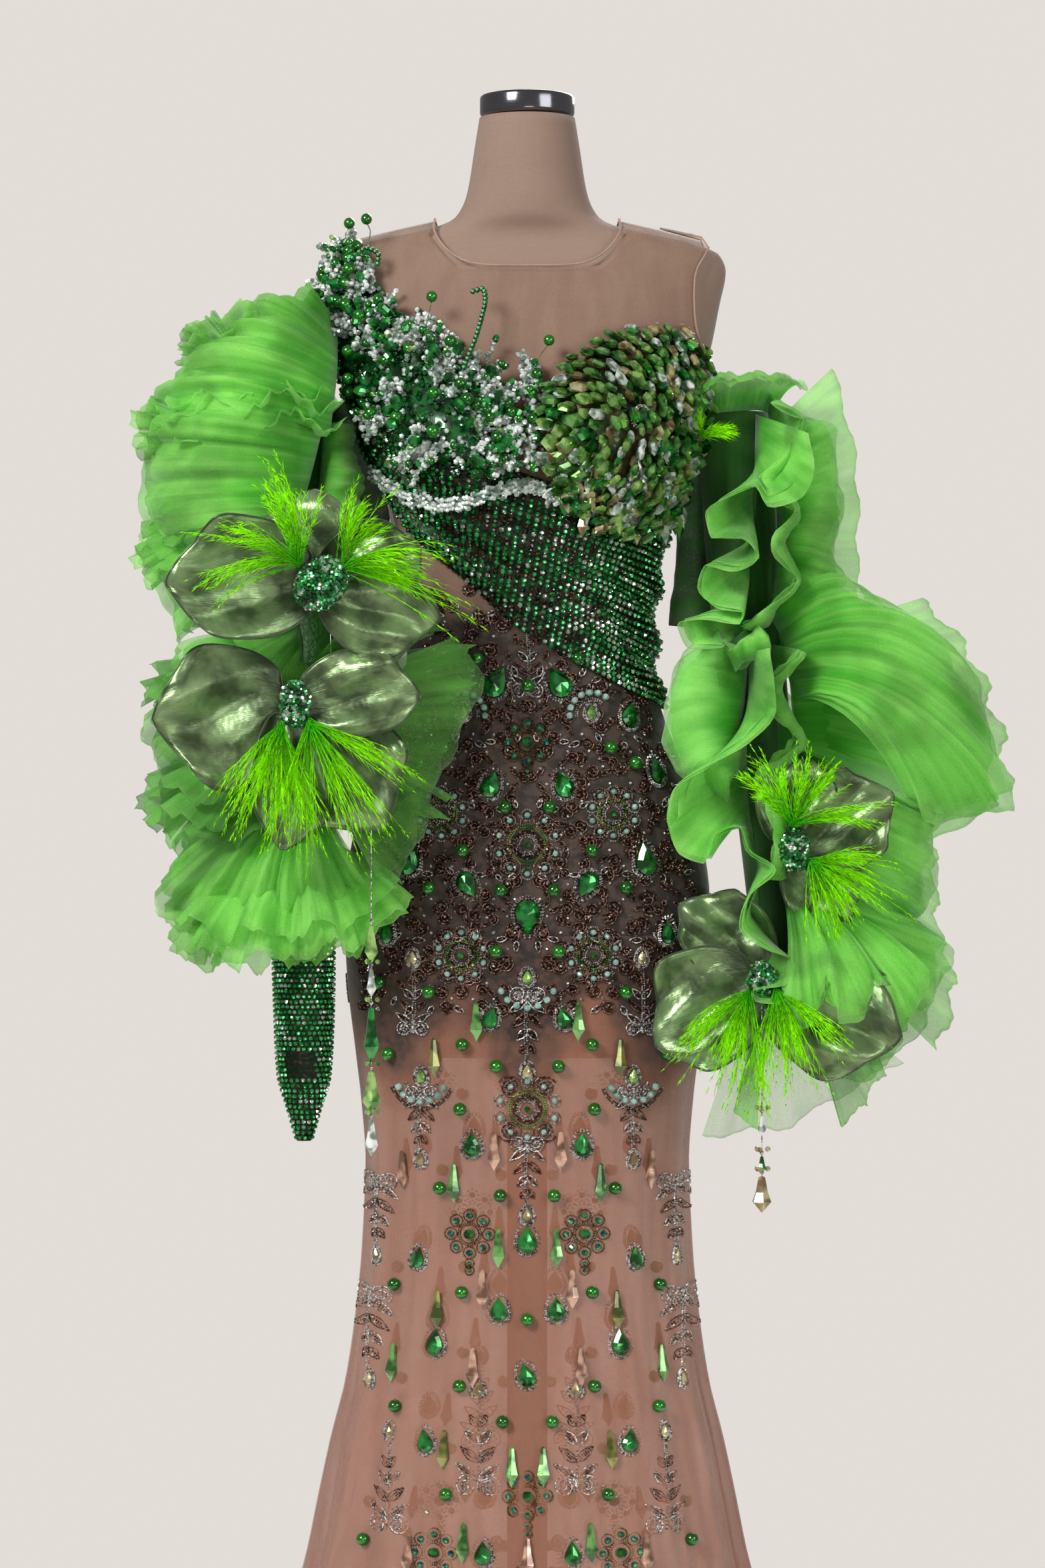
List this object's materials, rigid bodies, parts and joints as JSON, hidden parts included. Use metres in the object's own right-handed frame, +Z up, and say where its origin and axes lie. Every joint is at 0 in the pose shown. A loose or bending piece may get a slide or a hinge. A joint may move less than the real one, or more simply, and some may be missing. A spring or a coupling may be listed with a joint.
{
  "type": "mermaid evening dress on a limbless dress form",
  "caption": "Sheer beaded mermaid evening dress with stone sash, crystal bust, tulle sleeves, satin flowers and feathers, on a limbless linen dress form with a round stand.",
  "frame": {"origin": "middle of the stand's underside, on the floor", "axes": "+Z up, -Y the way the dress faces, +X the wearer's left"},
  "size_m": [0.8388, 0.6135, 1.589],
  "materials": {
    "linen": "matt linen weave",
    "chrome": "polished",
    "stand_metal": "satin dark grey",
    "nude_mesh": "sheer nude tulle with beaded embroidery",
    "chain_mesh": "rows of small green cut stones",
    "clear_beads": "clear and green cut beads",
    "green_crystal": "cut crystal drops",
    "tulle": "soft green tulle",
    "satin": "sage duchess satin",
    "feather": "neon green feather"
  },
  "bodies": {
    "root": {"armhole_binding_left": "nude_mesh", "bead_spray": "clear_beads", "bodice_back": "nude_mesh", "bodice_front": "nude_mesh", "chain_sleeve_right": "chain_mesh", "crystal_cup": "green_crystal", "crystal_drop_left": "green_crystal", "crystal_drop_right": "green_crystal", "feathers_left_lower_1": "feather", "feathers_left_lower_2": "feather", "feathers_left_upper_1": "feather", "feathers_left_upper_2": "feather", "feathers_right_lower_1": "feather", "feathers_right_lower_2": "feather", "feathers_right_upper_1": "feather", "feathers_right_upper_2": "feather", "flower_core_left_lower": "chain_mesh", "flower_core_left_upper": "chain_mesh", "flower_core_right_lower": "chain_mesh", "flower_core_right_upper": "chain_mesh", "form_base": "stand_metal", "form_neck_cap": "chrome", "form_pole": "stand_metal", "form_torso": "linen", "neck_binding": "nude_mesh", "petal_left_lower_1": "satin", "petal_left_lower_2": "satin", "petal_left_lower_3": "satin", "petal_left_upper_1": "satin", "petal_left_upper_2": "satin", "petal_left_upper_3": "satin", "petal_right_lower_1": "satin", "petal_right_lower_2": "satin", "petal_right_lower_3": "satin", "petal_right_lower_4": "satin", "petal_right_upper_1": "satin", "petal_right_upper_2": "satin", "petal_right_upper_3": "satin", "petal_right_upper_4": "satin", "sash_back": "chain_mesh", "sash_front": "chain_mesh", "skirt_back": "nude_mesh", "skirt_front": "nude_mesh", "sleeve_band_left": "tulle", "tulle_page_left_back": "tulle", "tulle_page_left_foot_front": "tulle", "tulle_page_left_foot_side": "tulle", "tulle_page_left_front_lower": "tulle", "tulle_page_left_front_upper": "tulle", "tulle_page_left_middle_lower": "tulle", "tulle_page_left_middle_upper": "tulle", "tulle_page_left_side_fan": "tulle", "tulle_page_left_side_lower": "tulle", "tulle_page_left_side_upper": "tulle", "tulle_tier_right_1": "tulle", "tulle_tier_right_2": "tulle", "tulle_tier_right_3": "tulle", "tulle_tier_right_4": "tulle", "tulle_tier_right_5": "tulle", "tulle_tier_right_6": "tulle"}
  },
  "joints": []
}
